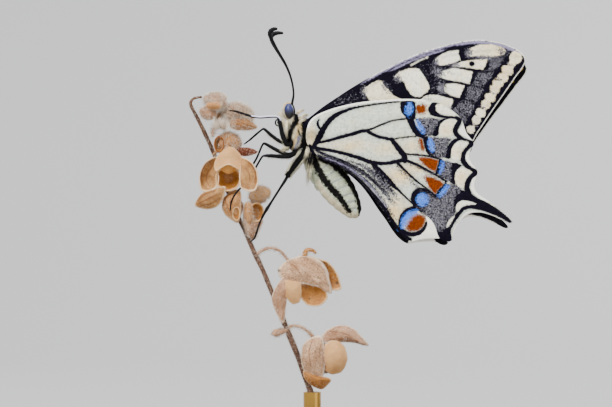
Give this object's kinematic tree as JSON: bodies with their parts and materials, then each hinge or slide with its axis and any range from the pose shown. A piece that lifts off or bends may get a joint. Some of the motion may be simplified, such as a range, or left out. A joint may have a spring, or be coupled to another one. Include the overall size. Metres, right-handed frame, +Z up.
{
  "type": "butterfly",
  "caption": "Old world swallowtail butterfly at rest with closed wings, gripping a dry stem with open seed capsules held upright by a small round display stand",
  "frame": {"origin": "middle of the underside of the round stand base, under the middle plane of the butterfly", "axes": "+Z up; the butterfly's head faces -X and its left side faces -Y; its closed wings lie in the XZ plane"},
  "size_m": [0.058, 0.058, 0.0703],
  "materials": {
    "wing": "matte",
    "fur": "fibrous",
    "eye": "gloss",
    "chitin": "satin",
    "dry_stem": "matte",
    "dry_capsule": "matte",
    "stand_wood": "satin",
    "stand_brass": "satin"
  },
  "bodies": {
    "root": {"thorax": "fur", "head": "fur", "eye_l": "eye", "eye_r": "eye", "palp_l": "fur", "palp_r": "fur", "proboscis": "chitin", "antenna_l": "chitin", "antenna_r": "chitin", "abdomen": "fur", "forewing_l": "wing", "forewing_r": "wing", "hindwing_l": "wing", "hindwing_r": "wing", "leg_fore_l": "chitin", "leg_fore_r": "chitin", "leg_mid_l": "chitin", "leg_mid_r": "chitin", "leg_hind_l": "chitin", "leg_hind_r": "chitin", "perch_stem": "dry_stem", "perch_bud_top": "dry_capsule", "perch_capsule_top": "dry_capsule", "perch_capsule_mid": "dry_capsule", "perch_capsule_front": "dry_capsule", "perch_capsule_low": "dry_capsule", "perch_capsule_right": "dry_capsule", "perch_capsule_hanging": "dry_capsule", "perch_capsule_lowest": "dry_capsule", "stand_base": "stand_wood", "stand_rod": "stand_brass", "stand_socket": "stand_brass"}
  },
  "joints": []
}
